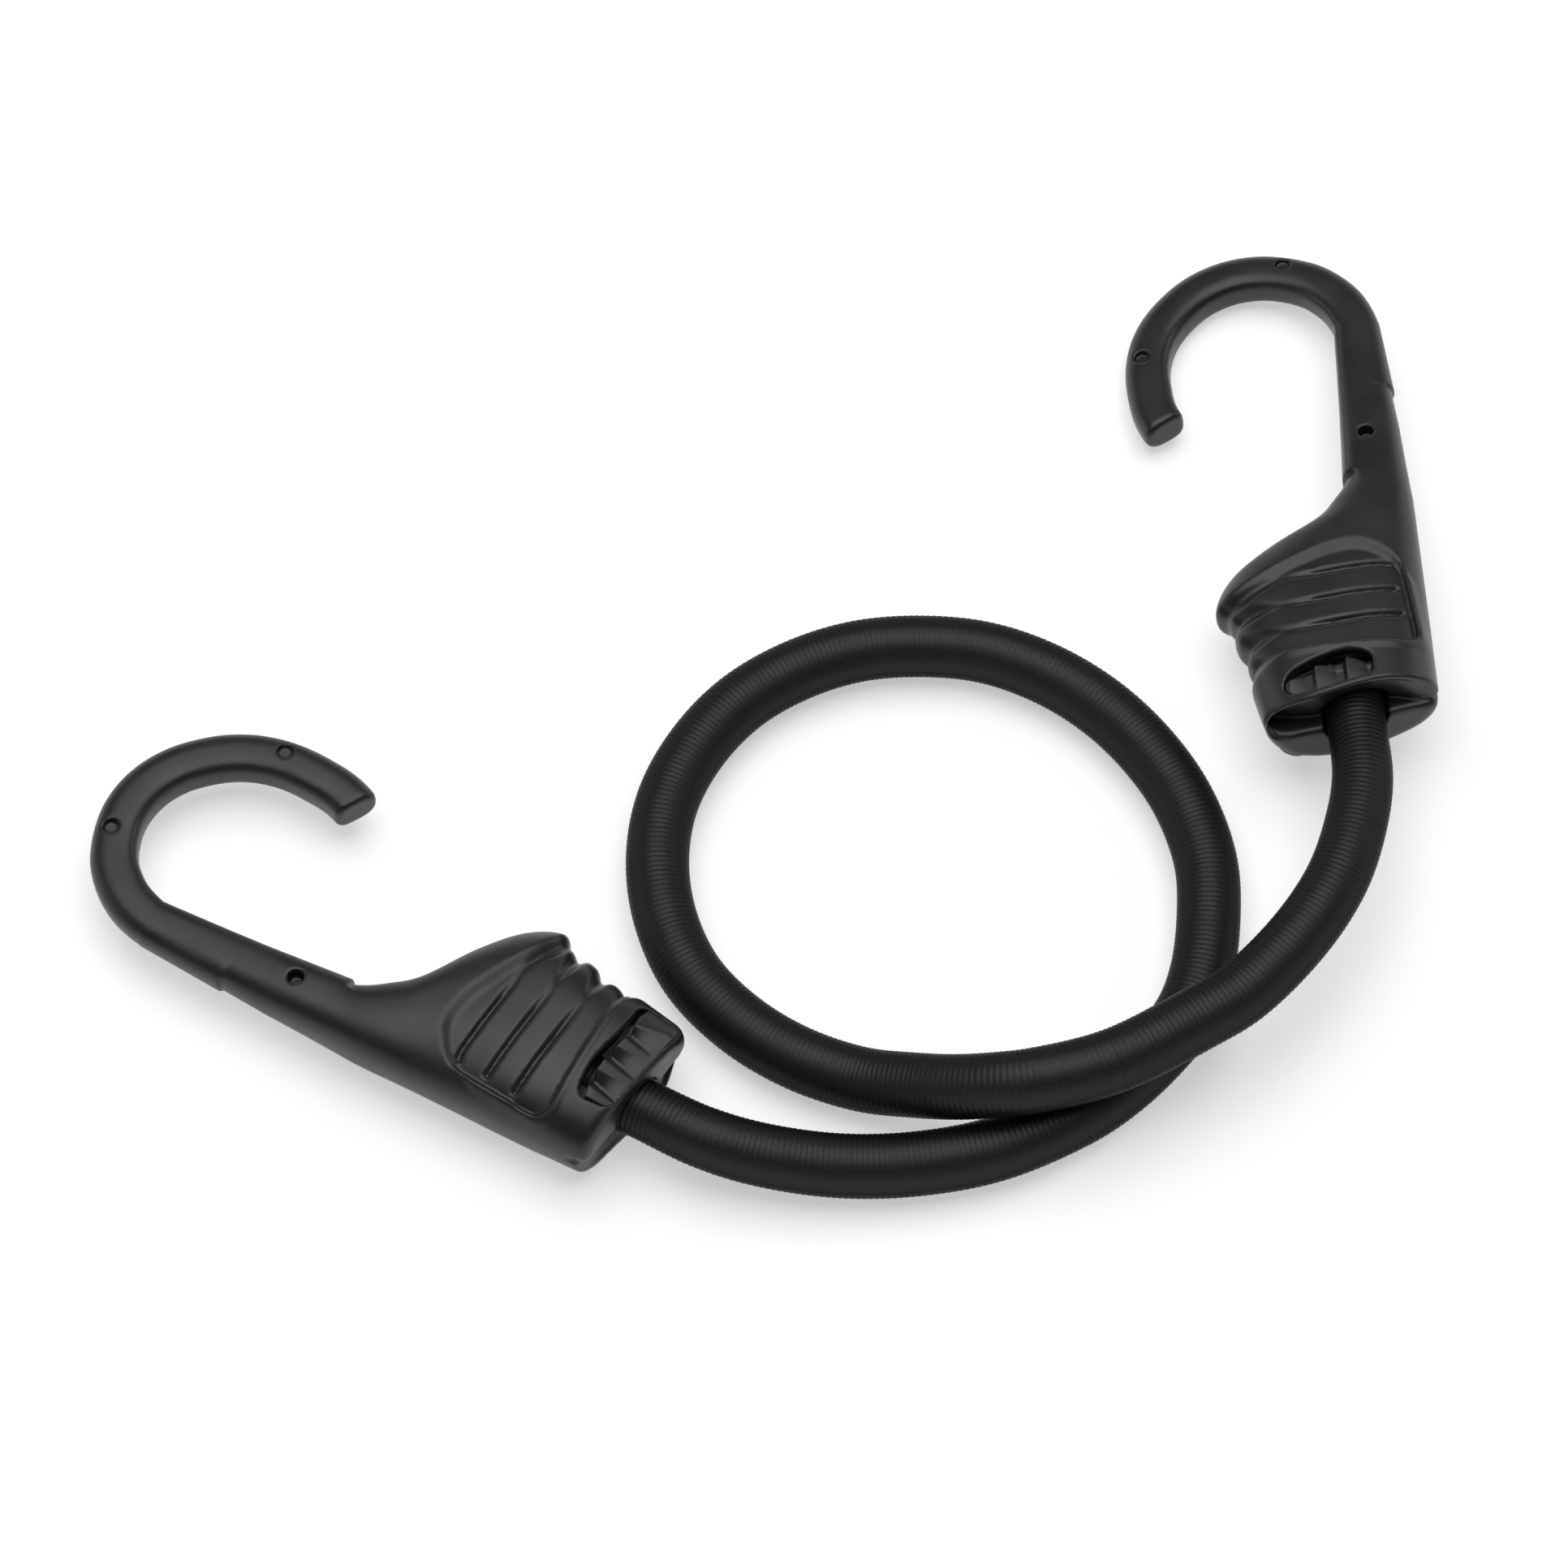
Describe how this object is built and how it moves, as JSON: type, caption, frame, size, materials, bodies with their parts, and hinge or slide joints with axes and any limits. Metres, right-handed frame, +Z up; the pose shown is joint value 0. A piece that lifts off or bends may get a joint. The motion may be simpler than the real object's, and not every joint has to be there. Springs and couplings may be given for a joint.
{
  "type": "bungee cord",
  "caption": "Elastic cord in a woven black sheath, laid in a loose loop, with a moulded nylon J hook with a ribbed thumb grip on each end.",
  "frame": {"origin": "on the table, under the middle of the box that the two hooks fill", "axes": "+X to the right of the picture, +Y away from the camera, +Z up"},
  "size_m": [0.2112, 0.1759, 0.0241],
  "materials": {
    "nylon": "satin moulded nylon, charcoal black",
    "plug": "matt moulded nylon, black",
    "sheath": "woven polyester, black",
    "rubber": "natural latex",
    "steel": "zinc-plated steel wire"
  },
  "bodies": {
    "cord": {"sheath_left_tail": "sheath", "sheath_loop": "sheath", "sheath_right_tail": "sheath", "rubber_left_tail": "rubber", "rubber_loop": "rubber", "rubber_right_tail": "rubber"},
    "left_end": {"left_ferrule": "steel"},
    "left_hook": {"left_hook_shell": "nylon", "left_hook_core": "steel", "left_cord_plug": "plug"},
    "right_end": {"right_ferrule": "steel"},
    "right_hook": {"right_hook_shell": "nylon", "right_hook_core": "steel", "right_cord_plug": "plug"}
  },
  "joints": [
    {"name": "left_stretch", "type": "slide", "parent": "cord", "child": "left_end", "axis": [-1, 0, 0], "range_m": [0, 0.06], "stiffness_N_per_m": 3000, "deforming": ["sheath_left_tail", "rubber_left_tail"]},
    {"name": "left_swivel", "type": "hinge", "parent": "left_end", "child": "left_hook", "pos_m": [-0.0184, -0.0759, 0.00828], "axis": [-0.8829, 0.4695, -0.0052], "range_deg": [-180, 180]},
    {"name": "right_stretch", "type": "slide", "parent": "cord", "child": "right_end", "axis": [0.5579, 0.8299, 0], "range_m": [0, 0.06], "stiffness_N_per_m": 3000, "deforming": ["sheath_right_tail", "rubber_right_tail"]},
    {"name": "right_swivel", "type": "hinge", "parent": "right_end", "child": "right_hook", "pos_m": [0.0925, -0.012, 0.01574], "axis": [-0.0208, 0.9943, -0.1045], "range_deg": [-180, 180]}
  ]
}
